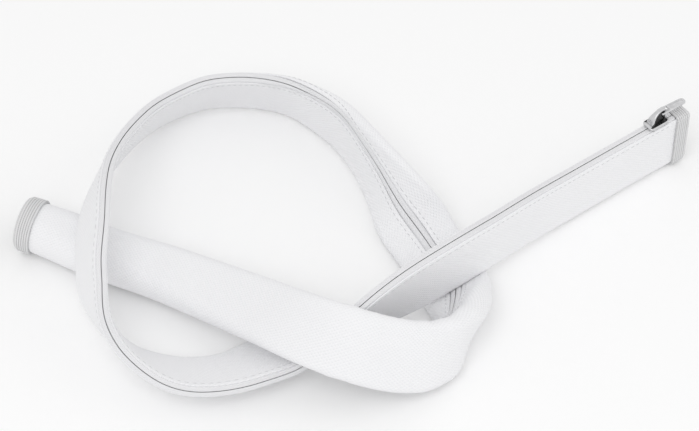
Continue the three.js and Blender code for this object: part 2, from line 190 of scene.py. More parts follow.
def section(distance, depth, half, turn):
    """A place on the flattened tube's section: a rounded rectangle with the sleeve's whole perimeter."""
    soft = half - 0.3 * MM
    crisp = ease(np.clip(turn + 1, 0, 1))
    r1 = soft + (np.minimum(SHARP_CORNER, soft) - soft) * crisp
    r2 = soft
    a = (PERIMETER - 4 * half + (4 - math.pi) * (r1 + r2)) / 4
    q1 = np.maximum(r1 - depth, 0.1 * MM)
    q2 = np.maximum(r2 - depth, 0.1 * MM)
    p, q = a - depth, half - depth
    quarter = math.pi / 2
    flat = 2 * a - r1 - r2
    pieces = [
        (half - r1, None, (p, 0 * p), (p, q - q1)),
        (r1 * quarter, (p - q1, q - q1, q1, 0), None, None),
        (flat, None, (p - q1, q), (q2 - p, q)),
        (r2 * quarter, (q2 - p, q - q2, q2, 1), None, None),
        (2 * (half - r2), None, (-p, q - q2), (-p, q2 - q)),
        (r2 * quarter, (q2 - p, q2 - q, q2, 2), None, None),
        (flat, None, (q2 - p, -q), (p - q1, -q)),
        (r1 * quarter, (p - q1, q1 - q, q1, 3), None, None),
        (half - r1, None, (p, q1 - q), (p, 0 * p)),
    ]
    rest = np.mod(distance + turn * PERIMETER / 4, PERIMETER)
    across, through = p.copy(), np.zeros_like(p)
    open_yet = np.ones(rest.shape, bool)
    for length, corner, start, end in pieces:
        here = open_yet & (rest <= length)
        k = np.clip(rest / np.maximum(length, 1e-9), 0, 1)
        if corner:
            x, y, radius, quadrant = corner
            w = x + radius * np.cos((quadrant + k) * quarter)
            v = y + radius * np.sin((quadrant + k) * quarter)
        else:
            w = start[0] + (end[0] - start[0]) * k
            v = start[1] + (end[1] - start[1]) * k
        across = np.where(here, w, across)
        through = np.where(here, v, through)
        open_yet &= ~here
        rest = rest - length
    return across, through


ROAD = survey_route()
LENGTH = float(ROAD["length"][-1])


def lay(points, on="wall", start=0.0):
    """Lays straight points (along, round, depth) on the tube: on its wall, or on the zip's flat strip."""
    points = np.asarray(points, float)
    s = points[:, 0] + start
    if on != "wall":
        s = np.interp(s, ZIP_LENGTH, ROAD["length"]) + np.minimum(s, 0) + np.maximum(s - ZIP_LENGTH[-1], 0)
    inside = np.clip(s, 0, LENGTH)
    read = {}
    for name in ("middle", "along", "wide", "thin"):
        read[name] = np.array([np.interp(inside, ROAD["length"], c) for c in ROAD[name].T]).T
    half = np.interp(inside, ROAD["length"], ROAD["half"])
    turn = np.interp(inside, ROAD["length"], ROAD["turn"])
    if on == "zip":
        w0, v0 = section(0 * s, 0 * s, half, turn)
        w1, v1 = section(0 * s + 0.05 * MM, 0 * s, half, turn)
        w2, v2 = section(0 * s - 0.05 * MM, 0 * s, half, turn)
        reach = np.hypot(w1 - w2, v1 - v2)
        x, y = (w1 - w2) / reach, (v1 - v2) / reach
        w = w0 + x * points[:, 1] - y * points[:, 2]
        v = v0 + y * points[:, 1] + x * points[:, 2]
    else:
        w, v = section(points[:, 1], points[:, 2], half, turn)
    centre = read["middle"] + unit(read["along"]) * (s - inside)[:, None]
    return centre + unit(read["wide"]) * w[:, None] + unit(read["thin"]) * v[:, None]


def survey_zip():
    """How far along the zip's own line each place of the route is."""
    ahead = np.zeros((len(ROAD["length"]), 3))
    ahead[:, 0] = ROAD["length"]
    line = lay(ahead)
    return np.concatenate([[0], np.cumsum(np.linalg.norm(np.diff(line, axis=0), axis=1))])


ZIP_LENGTH = survey_zip()


class SleeveSizes(bpy.types.PropertyGroup):
    """The woven sleeve's cloth and its stitching."""

    wall: FloatProperty(
        name="Cloth thickness", description="How thick the folded woven cloth is",
        default=0.0008, min=0.0002, max=0.003, subtype="DISTANCE", unit="LENGTH",
    )
    opening: FloatProperty(
        name="Opening", description="Half the width that the cloth leaves free for the zip",
        default=0.0032, min=0.0025, max=0.006, subtype="DISTANCE", unit="LENGTH",
    )
    thread: FloatProperty(
        name="Weave pitch", description="How far apart the cloth's threads lie",
        default=0.0011, min=0.0003, max=0.003, subtype="DISTANCE", unit="LENGTH",
    )
    stitch: FloatProperty(
        name="Stitch", description="The length of one stitch beside the zip",
        default=0.0026, min=0.001, max=0.006, subtype="DISTANCE", unit="LENGTH",
    )
    rows: IntProperty(
        name="Rows", description="How many rows of faces the cloth has along it",
        default=470, min=100, max=900,
    )
    columns: IntProperty(
        name="Columns", description="How many faces the cloth has round it",
        default=84, min=24, max=160,
    )


class ZipSizes(bpy.types.PropertyGroup):
    """The zip's coils and tapes."""

    pitch: FloatProperty(
        name="Coil pitch", description="How far apart the coil's turns lie",
        default=0.00115, min=0.0008, max=0.003, subtype="DISTANCE", unit="LENGTH",
    )
    wire: FloatProperty(
        name="Coil wire", description="How thick the coil's wire is",
        default=0.0005, min=0.0003, max=0.001, subtype="DISTANCE", unit="LENGTH",
    )
    slot: FloatProperty(
        name="Middle line", description="Half the line between the two tapes",
        default=0.00016, min=0.00015, max=0.001, subtype="DISTANCE", unit="LENGTH",
    )
    coil: FloatProperty(
        name="Coil reach", description="How far each coil reaches from the zip's middle",
        default=0.0020, min=0.001, max=0.003, subtype="DISTANCE", unit="LENGTH",
    )
    tape: FloatProperty(
        name="Tape reach", description="How far each tape reaches from the middle, under the cloth",
        default=0.0056, min=0.004, max=0.012, subtype="DISTANCE", unit="LENGTH",
    )


class BindingSizes(bpy.types.PropertyGroup):
    """The ribbed bands over both ends."""

    length: FloatProperty(
        name="Length", description="How far the band reaches along the sleeve",
        default=0.0070, min=0.003, max=0.02, subtype="DISTANCE", unit="LENGTH",
    )
    ribs: IntProperty(
        name="Ribs", description="How many ribs run round the band", default=6, min=2, max=12,
    )
    height: FloatProperty(
        name="Rib height", description="How far the ribs stand out",
        default=0.0004, min=0.0001, max=0.001, subtype="DISTANCE", unit="LENGTH",
    )


class SliderSizes(bpy.types.PropertyGroup):
    """The cast slider and its pull."""

    length: FloatProperty(
        name="Length", description="The slider's length",
        default=0.0125, min=0.008, max=0.02, subtype="DISTANCE", unit="LENGTH",
    )
    width: FloatProperty(
        name="Width", description="The slider's width",
        default=0.0072, min=0.005, max=0.012, subtype="DISTANCE", unit="LENGTH",
    )
    pull_length: FloatProperty(
        name="Pull length", description="The pull's length from its hinge",
        default=0.0150, min=0.008, max=0.04, subtype="DISTANCE", unit="LENGTH",
    )
    pull_width: FloatProperty(
        name="Pull width", description="The pull's width at its eye",
        default=0.0046, min=0.003, max=0.01, subtype="DISTANCE", unit="LENGTH",
    )


class FinishColours(bpy.types.PropertyGroup):
    """The colours of the cloth, zip, bands and metal."""

    cloth: FloatVectorProperty(
        name="Cloth", description="The woven cloth", subtype="COLOR", size=3,
        default=(0.915, 0.915, 0.928), min=0, max=1,
    )
    # Painted shade: the cloth's colour where its threads dip, darker to stand in for the shade in the weave.
    cloth_dip_shade: FloatVectorProperty(
        name="Cloth between threads", description="The cloth where its threads dip", subtype="COLOR",
        size=3, default=(0.835, 0.835, 0.856), min=0, max=1,
    )
    tape: FloatVectorProperty(
        name="Zip tape", description="The zip's woven tape", subtype="COLOR", size=3,
        default=(0.850, 0.850, 0.865), min=0, max=1,
    )
    coil: FloatVectorProperty(
        name="Zip coil", description="The zip's nylon coil", subtype="COLOR", size=3,
        default=(0.800, 0.802, 0.815), min=0, max=1,
    )
    band: FloatVectorProperty(
        name="End band", description="The ribbed end bands", subtype="COLOR", size=3,
        default=(0.740, 0.740, 0.745), min=0, max=1,
    )
    # Painted shade: the thread is darker than the cloth to stand in for the shade in the sunk stitch pits.
    thread: FloatVectorProperty(
        name="Sewing thread", description="The stitches", subtype="COLOR", size=3,
        default=(0.700, 0.700, 0.715), min=0, max=1,
    )
    metal: FloatVectorProperty(
        name="Slider metal", description="The plated slider and pull", subtype="COLOR", size=3,
        default=(0.660, 0.660, 0.670), min=0, max=1,
    )


class StageSettings(bpy.types.PropertyGroup):
    """The floor, light and camera."""

    floor: FloatVectorProperty(
        name="Floor", description="The floor's colour", subtype="COLOR", size=3,
        default=(0.985, 0.985, 0.985), min=0, max=1,
    )
    sky: FloatProperty(
        name="Sky light", description="How strong the even light from all round is",
        default=0.78, min=0, max=2, subtype="FACTOR",
    )
    lamp: FloatProperty(
        name="Lamp", description="How strong the soft lamp is", default=9.0, min=0, max=100,
        subtype="POWER", unit="POWER",
    )
    azimuth: FloatProperty(
        name="Azimuth", description="The camera's direction round the object",
        default=math.radians(-36), subtype="ANGLE", unit="ROTATION",
    )
    elevation: FloatProperty(
        name="Elevation", description="The camera's height above the horizon",
        default=math.radians(49), subtype="ANGLE", unit="ROTATION",
    )
    distance: FloatProperty(
        name="Distance", description="The camera's distance",
        default=1.25, min=0.3, max=10, subtype="DISTANCE", unit="LENGTH",
    )
    lens: FloatProperty(
        name="Lens", description="The camera's focal length in millimetres",
        default=130.7, min=20, max=300, subtype="DISTANCE_CAMERA", unit="CAMERA",
    )


class Nodes:
    """A material's node tree, with short calls for the nodes that the finishes share."""

    def __init__(self, name, colour, roughness, metallic=0.0):
        self.material = bpy.data.materials.new(name)
        self.material.use_nodes = True
        self.tree = self.material.node_tree
        self.tree.nodes.clear()
        self.shader = self.tree.nodes.new("ShaderNodeBsdfPrincipled")
        out = self.tree.nodes.new("ShaderNodeOutputMaterial")
        self.join(self.shader.outputs["BSDF"], out.inputs["Surface"])
        self.shader.inputs["Base Color"].default_value = (*colour, 1)
        self.shader.inputs["Roughness"].default_value = roughness
        self.shader.inputs["Metallic"].default_value = metallic
        self.place = self.tree.nodes.new("ShaderNodeTexCoord")

    def join(self, source, target):
        self.tree.links.new(source, target)

    def math(self, operation, a, b=0.0, c=0.0):
        node = self.tree.nodes.new("ShaderNodeMath")
        node.operation = operation
        for socket, value in zip(node.inputs, (a, b, c)):
            if isinstance(value, (int, float)):
                socket.default_value = value
            else:
                self.join(value, socket)
        return node.outputs[0]

    def uv(self):
        """The cloth's own directions, in metres: along the piece and round it."""
        node = self.tree.nodes.new("ShaderNodeSeparateXYZ")
        self.join(self.place.outputs["UV"], node.inputs[0])
        return node.outputs[0], node.outputs[1]

    def noise(self, scale, detail=2.0, coordinates="Object"):
        node = self.tree.nodes.new("ShaderNodeTexNoise")
        node.inputs["Scale"].default_value = scale
        node.inputs["Detail"].default_value = detail
        self.join(self.place.outputs[coordinates], node.inputs["Vector"])
        return node.outputs["Fac"]

    def wave(self, value, pitch):
        """A smooth ripple from -1 to 1 that repeats every pitch metres."""
        return self.math("SINE", self.math("MULTIPLY", value, 2 * math.pi / pitch))

    def blend(self, factor, low, high):
        node = self.tree.nodes.new("ShaderNodeMix")
        node.data_type = "RGBA"
        self.join(factor, node.inputs["Factor"])
        node.inputs["A"].default_value = (*low, 1)
        node.inputs["B"].default_value = (*high, 1)
        return node.outputs["Result"]

    def between(self, value, low, high):
        """The value spread from its own low and high to 0 and 1."""
        node = self.tree.nodes.new("ShaderNodeMapRange")
        node.inputs["From Min"].default_value = low
        node.inputs["From Max"].default_value = high
        self.join(value, node.inputs["Value"])
        return node.outputs["Result"]

    def bump(self, height, distance, strength=1.0):
        node = self.tree.nodes.new("ShaderNodeBump")
        node.inputs["Distance"].default_value = distance
        node.inputs["Strength"].default_value = strength
        self.join(height, node.inputs["Height"])
        self.join(node.outputs["Normal"], self.shader.inputs["Normal"])


def woven_cloth(name, light, dip_shade, pitch, roughness=0.88):
    """Plain-woven polyester: threads along and across that pass over and under each other, with painted
    shade where they dip.
    """
    n = Nodes(name, light, roughness)
    u, v = n.uv()
    over = n.math("MULTIPLY", n.wave(u, pitch * 2), n.wave(v, pitch * 1.5))
    ridge = n.math("MULTIPLY_ADD", n.wave(v, pitch * 0.75), 0.35, over)
    uneven = n.noise(900.0, 3.0, "UV")
    height = n.math("ADD", ridge, n.math("MULTIPLY", uneven, 0.8))
    cloudy = n.noise(26.0, 3.0)
    # The colour paints shade into the weave, darker where the threads dip, and adds random cloudy tone on
    # top.
    tone = n.math("ADD", n.between(height, -1.1, 1.5), n.math("MULTIPLY_ADD", cloudy, 0.5, -0.25))
    n.join(n.blend(n.between(tone, -0.1, 0.75), dip_shade, light), n.shader.inputs["Base Color"])
    n.shader.inputs["Sheen Weight"].default_value = 0.15
    n.shader.inputs["Sheen Roughness"].default_value = 0.6
    n.shader.inputs["Specular IOR Level"].default_value = 0.25
    n.bump(height, 0.00012, 0.7)
    return n.material


def nylon_coil(name, colour):
    """Drawn nylon wire, slightly shiny, with faint unevenness."""
    n = Nodes(name, colour, 0.42)
    uneven = n.between(n.noise(700.0, 2.0), 0.3, 0.7)
    paler = tuple(min(1.0, c * 1.06) for c in colour)
    n.join(n.blend(uneven, colour, paler), n.shader.inputs["Base Color"])
    n.join(n.math("MULTIPLY_ADD", uneven, 0.12, 0.36), n.shader.inputs["Roughness"])
    n.bump(uneven, 0.00003, 0.4)
    return n.material


def ribbed_knit(name, colour, rib):
    """Elastic knit: ribs with painted shade in the grooves between them, crossed by small loops."""
    n = Nodes(name, colour, 0.8)
    u, v = n.uv()
    ridge = n.math("ABSOLUTE", n.wave(u, rib * 2))
    loops = n.math("ABSOLUTE", n.wave(v, 0.0018))
    fuzz = n.noise(1500.0, 3.0, "UV")
    height = n.math("MULTIPLY_ADD", fuzz, 0.5, n.math("MULTIPLY_ADD", loops, 0.5, ridge))
    # The grooves between ribs and loops take painted shade at 0.62 of the band's colour; the fuzz adds
    # random tone.
    dip_shade = tuple(c * 0.62 for c in colour)
    n.join(n.blend(n.between(height, 0.25, 1.3), dip_shade, colour), n.shader.inputs["Base Color"])
    n.shader.inputs["Sheen Weight"].default_value = 0.1
    n.shader.inputs["Specular IOR Level"].default_value = 0.25
    n.bump(height, 0.00012, 0.7)
    return n.material


def sewing_thread(name, colour):
    """Twisted thread: fine slanting plies, with painted shade in the grooves between them."""
    n = Nodes(name, colour, 0.6)
    node = n.tree.nodes.new("ShaderNodeSeparateXYZ")
    n.join(n.place.outputs["Object"], node.inputs[0])
    slant = n.math("ADD", node.outputs[0], n.math("ADD", node.outputs[1], node.outputs[2]))
    ply = n.between(n.wave(slant, 0.0005), -1, 1)
    # The grooves between the plies take painted shade at 0.82 of the thread's colour.
    dip_shade = tuple(c * 0.82 for c in colour)
    n.join(n.blend(ply, dip_shade, colour), n.shader.inputs["Base Color"])
    n.bump(ply, 0.00004, 0.5)
    return n.material


def plated_metal(name, colour):
    """Nickel-plated zinc casting: bright, a little cloudy, dulled where it is handled."""
    n = Nodes(name, colour, 0.24, 1.0)
    cloudy = n.between(n.noise(420.0, 3.0), 0.3, 0.7)
    dull = tuple(c * 0.8 for c in colour)
    n.join(n.blend(cloudy, dull, colour), n.shader.inputs["Base Color"])
    n.join(n.math("MULTIPLY_ADD", n.noise(1300.0, 4.0), 0.22, 0.14), n.shader.inputs["Roughness"])
    n.bump(n.noise(800.0, 2.0), 0.00003, 0.5)
    return n.material


def finish(name, make, *values):
    """The material of that name, made the first time that it is asked for."""
    return bpy.data.materials.get(name) or make(name, *values)


def fresh():
    """Leaves edit mode and lets go of everything, so that the next tool acts on its own piece alone."""
    if bpy.context.object and bpy.context.object.mode != "OBJECT":
        bpy.ops.object.mode_set(mode="OBJECT")
    bpy.ops.object.select_all(action="DESELECT")


def pick(*objects):
    fresh()
    for o in objects:
        o.select_set(True)
    bpy.context.view_layer.objects.active = objects[0]


def apply_modifier(obj, kind, name, **settings):
    pick(obj)
    modifier = obj.modifiers.new(name, kind)
    for key, value in settings.items():
        setattr(modifier, key, value)
    bpy.ops.object.modifier_apply(modifier=modifier.name)


def soften(obj, name, width, segments, angle, **settings):
    """Rounds the edges sharper than angle degrees, by width metres."""
    apply_modifier(
        obj, "BEVEL", name, width=width, segments=segments, limit_method="ANGLE",
        angle_limit=math.radians(angle), **settings,
    )


def repeat(obj, name, count, pitch):
    """Copies the piece count times along X, pitch metres apart."""
    apply_modifier(
        obj, "ARRAY", name, count=count, use_relative_offset=False,
        use_constant_offset=True, constant_offset_displace=(pitch, 0, 0),
    )


def edit(obj, chosen, *steps):
    """Edit mode on obj with the faces or edges that chosen names selected, and each step run there."""
    pick(obj)
    bpy.ops.object.mode_set(mode="EDIT")
    bpy.ops.mesh.select_mode(type="EDGE")
    bpy.ops.mesh.select_all(action="DESELECT")
    mesh = bmesh.from_edit_mesh(obj.data)
    chosen(mesh)
    bmesh.update_edit_mesh(obj.data)
    for step in steps:
        step()
    bpy.ops.object.mode_set(mode="OBJECT")


def box_piece(name, low, high):
    """A block between two corners, in millimetres of the slider's own place, ready to be shaped."""
    fresh()
    low, high = Vector(low) * MM, Vector(high) * MM
    bpy.ops.mesh.primitive_cube_add(size=1, location=(low + high) / 2)
    obj = bpy.context.object
    obj.name = name
    obj.scale = high - low
    bpy.ops.object.transform_apply(location=True, rotation=False, scale=True)
    return obj


def edges_where(test):
    """Selects the edges whose middle and direction pass the test, in millimetres."""

    def chosen(mesh):
        for e in mesh.edges:
            a, b = e.verts[0].co / MM, e.verts[1].co / MM
            if test((a + b) / 2, (b - a).normalized()):
                e.select_set(True)

    return chosen


def bevel(offset, segments):
    return lambda: bpy.ops.mesh.bevel(offset=offset * MM, segments=segments, affect="EDGES")


def join_solids(main, others, operation="UNION"):
    for other in others:
        apply_modifier(main, "BOOLEAN", operation.title(), object=other, operation=operation, solver="EXACT")
        bpy.data.objects.remove(other)
    return main


def straight_sheet(name, length, low, high, rows, columns):
    """A flat sheet laid out along X from 0 to length, and across Y from low to high."""
    fresh()
    bpy.ops.mesh.primitive_grid_add(
        x_subdivisions=rows, y_subdivisions=columns, size=1, location=(length / 2, (low + high) / 2, 0),
    )
    obj = bpy.context.object
    obj.name = name
    obj.scale = (length, high - low, 1)
    obj.data.name = name
    bpy.ops.object.transform_apply(location=True, rotation=False, scale=True)
    return obj


def points_of(obj):
    co = np.zeros(len(obj.data.vertices) * 3)
    obj.data.vertices.foreach_get("co", co)
    return co.reshape(-1, 3)


def move_points(obj, points):
    obj.data.vertices.foreach_set("co", np.asarray(points, np.float32).ravel())
    obj.data.update()


def measure_uv(obj):
    """Gives the piece UVs in metres, from its straight place before it is laid."""
    co = points_of(obj)
    layer = obj.data.uv_layers.active or obj.data.uv_layers.new(name="Cloth")
    loops = np.zeros(len(obj.data.loops), int)
    obj.data.loops.foreach_get("vertex_index", loops)
    layer.data.foreach_set("uv", co[loops][:, :2].astype(np.float32).ravel())


def outward(obj):
    edit(obj, lambda mesh: [f.select_set(True) for f in mesh.faces],
         lambda: bpy.ops.mesh.normals_make_consistent(inside=False))


def smooth(obj, angle=40):
    pick(obj)
    bpy.ops.object.shade_smooth_by_angle(angle=math.radians(angle))


def place_piece(obj, body, slot, material, *nodes):
    """Gives a finished piece its material, hangs it on the body that it rides on, and hides the frame's
    parts that it replaces.
    """
    obj.data.materials.clear()
    obj.data.materials.append(material)
    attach(obj, body)
    if nodes:
        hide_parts(*nodes)


def cloth_relief(s, d):
    """How far the cloth stands in from its smooth form: slow waves, and buckles where it turns tightly."""
    slow = 0.16 * np.sin(s / 0.031 + 1.3) * np.sin(d / 0.011 + 0.4) + 0.10 * np.sin(s / 0.0127 + d / 0.019)
    bend = np.interp(s, ROAD["length"], CURVATURE)
    tight = np.clip((bend - 14) / 20, 0, 1)
    buckle = 0.22 * np.sin(s / 0.0021 + 1.5 * np.sin(d / 0.008)) * tight
    edge = np.clip((np.minimum(d, PERIMETER - d) - 0.0045) / 0.006, 0, 1)
    ends = np.clip(np.minimum(s, LENGTH - s) / 0.02, 0, 1)
    return (slow + buckle) * MM * edge * ends


def curvature():
    turn = np.gradient(ROAD["along"], axis=0)
    bend = np.linalg.norm(turn, axis=1) / STEP
    return smoothed(bend[:, None], 4 * MM)[:, 0]


CURVATURE = curvature()


class SLEEVE_OT_cloth(bpy.types.Operator):
    """Weaves the sleeve's cloth flat and folds it round the route"""

    bl_idname = "sleeve.cloth"
    bl_label = "Woven Sleeve"

    def execute(self, context):
        sizes, colours = context.scene.sleeve_sizes, context.scene.sleeve_colours
        sheet = straight_sheet(
            "woven_sleeve", LENGTH, sizes.opening, PERIMETER - sizes.opening, sizes.rows, sizes.columns
        )
        measure_uv(sheet)
        flat = points_of(sheet)
        flat[:, 2] = cloth_relief(flat[:, 0], flat[:, 1])
        move_points(sheet, lay(flat))
        outward_of_tube(sheet)
        apply_modifier(sheet, "SOLIDIFY", "Cloth", thickness=sizes.wall, offset=-1, use_even_offset=False)
        soften(sheet, "Folded edge", 0.25 * MM, 2, 62, use_clamp_overlap=True)
        smooth(sheet, 50)
        cloth = finish("Woven cloth", woven_cloth, colours.cloth, colours.cloth_dip_shade, sizes.thread)
        place_piece(sheet, "sleeve", "woven_fabric", cloth, "sleeve_fabric")
        return {"FINISHED"}


def outward_of_tube(obj):
    """Turns a laid sheet so that its faces point away from the tube's middle."""
    mesh = obj.data
    sample = mesh.polygons[len(mesh.polygons) // 2]
    nearest = np.argmin(np.linalg.norm(ROAD["middle"] - np.array(sample.center), axis=1))
    if sample.normal.dot(sample.center - Vector(ROAD["middle"][nearest])) < 0:
        mesh.flip_normals()


class SLEEVE_OT_zip_tapes(bpy.types.Operator):
    """Lays the zip's two woven tapes over the coils, edge to edge, and in under the cloth"""

    bl_idname = "sleeve.zip_tapes"
    bl_label = "Zip Tapes"

    def execute(self, context):
        zip_sizes, sizes = context.scene.sleeve_zip, context.scene.sleeve_sizes
        colours, band = context.scene.sleeve_colours, context.scene.sleeve_bindings
        inset = band.length + 0.3 * MM
        length = LENGTH - 2 * inset
        for side, sign in (("left", 1), ("right", -1)):
            low, high = sorted((sign * zip_sizes.slot, sign * zip_sizes.tape))
            tape = straight_sheet(f"zip_tape_{side}_cloth", length, low, high, 420, 20)
            measure_uv(tape)
            flat = points_of(tape)
            reach = np.abs(flat[:, 1]) / MM
            sink = np.clip((reach - 2.1) / 1.2, 0, 1)
            roll = np.clip((0.7 - reach) / 0.5, 0, 1)
            # The tape bulges out over the coil, and sinks in under the cloth.
            lift, under = 0.32, sizes.wall / MM + 0.12
            flat[:, 2] = (-lift + (under + lift) * ease(sink) + 0.3 * roll**2) * MM
            move_points(tape, lay(flat, start=inset))
            outward_of_tube(tape)
            apply_modifier(tape, "SOLIDIFY", "Tape", thickness=0.3 * MM, offset=-1, use_even_offset=False)
            smooth(tape, 50)
            # The tape's weave takes painted shade in its dips, at 0.88 of the tape's colour.
            tape_dip_shade = tuple(c * 0.88 for c in colours.tape)
            cloth = finish("Zip tape", woven_cloth, tuple(colours.tape), tape_dip_shade, sizes.thread * 0.6)
            place_piece(tape, "sleeve", "zip_tape", cloth, f"zip_tape_{side}")
        return {"FINISHED"}


class SLEEVE_OT_zip_coils(bpy.types.Operator):
    """Winds one turn of nylon coil and repeats it along the inside of both tapes"""

    bl_idname = "sleeve.zip_coils"
    bl_label = "Zip Coils"

    def execute(self, context):
        zip_sizes, colours = context.scene.sleeve_zip, context.scene.sleeve_colours
        inset = context.scene.sleeve_bindings.length + 0.6 * MM
        length = ZIP_LENGTH[-1] - 2 * inset
        count = int(length / zip_sizes.pitch)
        inner = zip_sizes.slot + 0.2 * MM
        reach = (zip_sizes.coil - inner) / 2
        middle = (zip_sizes.coil + inner) / 2
        for side, sign in (("left", 1), ("right", -1)):
            fresh()
            bpy.ops.mesh.primitive_torus_add(
                major_segments=8, minor_segments=4, major_radius=0.5 * MM, minor_radius=zip_sizes.wire / 2,
                rotation=(0, math.pi / 2, 0),
            )
            turn = bpy.context.object
            turn.name = f"zip_coil_{side}_wire"
            bpy.ops.object.transform_apply(location=True, rotation=True, scale=True)
            co = points_of(turn)
            co[:, 1] *= reach / np.abs(co[:, 1]).max()
            co[:, 2] *= 0.40 * MM / np.abs(co[:, 2]).max()
            # One side of the turn runs on to the next, as wound wire does.
            co[:, 0] += np.where(co[:, 2] > 0, co[:, 1] / reach * zip_sizes.pitch * 0.18, 0)
            co[:, 1] += sign * middle
            co[:, 2] += 0.46 * MM
            if side == "right":
                co[:, 0] += zip_sizes.pitch / 2
            move_points(turn, co)
            outward(turn)
            repeat(turn, "Winding", count, zip_sizes.pitch)
            move_points(turn, lay(points_of(turn), on="zip", start=inset))
            outward(turn)
            smooth(turn, 80)
            nylon = finish("Nylon coil", nylon_coil, tuple(colours.coil))
            place_piece(turn, "sleeve", "zip_coil", nylon, f"zip_coil_{side}")
        return {"FINISHED"}


class SLEEVE_OT_stitches(bpy.types.Operator):
    """Sews the cloth to the tapes with one line of stitches on each side of the zip"""

    bl_idname = "sleeve.stitches"
    bl_label = "Stitches"

    def execute(self, context):
        sizes, colours = context.scene.sleeve_sizes, context.scene.sleeve_colours
        inset = context.scene.sleeve_bindings.length + 1.5 * MM
        pitch = sizes.stitch * 1.22
        count = int((LENGTH - 2 * inset) / pitch)
        for side, sign in (("left", 1), ("right", -1)):
            fresh()
            bpy.ops.mesh.primitive_uv_sphere_add(
                segments=8, ring_count=5, radius=0.5, rotation=(0, math.pi / 2, 0)
            )
            stitch = bpy.context.object
            stitch.name = f"seam_stitches_{side}"
            bpy.ops.object.transform_apply(location=True, rotation=True, scale=True)
            co = points_of(stitch)
            co *= np.array([sizes.stitch, 0.42 * MM, 0.34 * MM])
            sag = 0.16 * MM * (2 * co[:, 0] / sizes.stitch) ** 2
            co[:, 1] += sign * (sizes.opening + 2.1 * MM)
            co[:, 2] += sag - 0.02 * MM
            move_points(stitch, co)
            repeat(stitch, "Seam", count, pitch)
            move_points(stitch, lay(points_of(stitch), start=inset))
            outward(stitch)
            smooth(stitch, 80)
            # The thread's darker tone paints the shade of the sunk stitch pits.
            thread = finish("Sewing thread", sewing_thread, tuple(colours.thread))
            place_piece(stitch, "sleeve", "woven_fabric", thread)
        return {"FINISHED"}


class SLEEVE_OT_bindings(bpy.types.Operator):
    """Folds a ribbed elastic band over each end"""

    bl_idname = "sleeve.bindings"
    bl_label = "End Bands"

    def execute(self, context):
        sizes, colours = context.scene.sleeve_bindings, context.scene.sleeve_colours
        wall = context.scene.sleeve_sizes.wall
        gap, thick, lining = 0.25 * MM, 0.75 * MM, 0.3 * MM
        steps_per_rib = 6
        profile = []
        count = sizes.ribs * steps_per_rib
        for i in range(count + 1):
            k = i / count
            swell = abs(math.sin(math.pi * k * sizes.ribs)) ** 0.7
            profile.append((sizes.length * k, -gap - thick - sizes.height * swell))
        profile += [
            (sizes.length + 0.12 * MM, -gap - thick * 0.5), (sizes.length, -gap), (-gap, -gap),
            (-gap, wall + gap), (sizes.length, wall + gap), (sizes.length, wall + gap + lining),
            (0.0, wall + gap + lining), (-gap - thick * 0.7, wall + gap + lining * 0.6),
            (-gap - thick, wall * 0.5), (-gap - thick * 0.9, -gap - thick * 0.4),
        ]
        profile = np.array(profile)
        around = 120
        for side in ("left", "right"):
            band = straight_sheet(f"ribbed_band_{side}", 1.0, 0.0, 1.0, len(profile), around)
            co = points_of(band)
            step = np.rint(co[:, 0] * len(profile)).astype(int)
            straight = profile[step % len(profile)]
            move_points(band, np.column_stack([straight[:, 0], co[:, 1] * PERIMETER, 0 * step]))
            measure_uv(band)
            s = straight[:, 0] if side == "left" else LENGTH - straight[:, 0]
            laid = lay(np.column_stack([s, co[:, 1] * PERIMETER, straight[:, 1]]))
            move_points(band, laid)
            edit(band, lambda mesh: [f.select_set(True) for f in mesh.faces],
                 lambda: bpy.ops.mesh.remove_doubles(threshold=0.002 * MM))
            outward(band)
            smooth(band, 60)
            knit = finish("Ribbed knit", ribbed_knit, tuple(colours.band), sizes.length / sizes.ribs)
            place_piece(band, "sleeve", "end_binding", knit, f"end_binding_{side}")
        return {"FINISHED"}


# The slider's own levels in millimetres, from the cloth's top line.
PLATE_BOTTOM, PLATE_TOP = 0.8, 2.3
LOWER_BOTTOM, LOWER_TOP = -2.8, -1.9
FLANGE_BOTTOM, FLANGE_INNER = 0.4, 2.5
NECK_HALF = 0.08


def slider_place():
    """Where the slider's own middle is, on the cloth's top line, from the frame's slider."""
    low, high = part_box("slider_body")
    return Vector(((low.x + high.x) / 2, (low.y + high.y) / 2, low.z - LOWER_BOTTOM * MM))


def set_down(obj, place):
    move_points(obj, points_of(obj) + np.array(place))


def bezier(a, b, c, d, k):
    a, b, c, d = (np.array(p, float) for p in (a, b, c, d))
    k = np.asarray(k, float)[:, None]
    return (1 - k) ** 3 * a + 3 * (1 - k) ** 2 * k * b + 3 * (1 - k) * k**2 * c + k**3 * d


CROWN_STEPS = 14
CROWN_OUTER = (
    ((-4.8, 2.1), (-4.8, 5.9), (-0.8, 9.1), (2.4, 9.4)),
    ((2.4, 9.4), (4.6, 9.5), (5.6, 8.0), (5.0, 2.1)),
)
CROWN_INNER = (
    ((-3.3, 2.1), (-3.3, 5.4), (-0.2, 8.0), (2.3, 8.3)),
    ((2.3, 8.3), (3.7, 8.4), (4.4, 7.3), (3.9, 2.1)),
)
HINGE = Vector((2.4, 0, 7.1)) * MM
EYE_MIDDLE = (0.6, 5.2)
PULL_HALF_THICKNESS = 0.45
PULL_REST_ANGLE = math.radians(3)


def crown_line(halves):
    k = np.linspace(0, 1, CROWN_STEPS + 1)
    return np.vstack([bezier(*halves[0], k), bezier(*halves[1], k)[1:]])


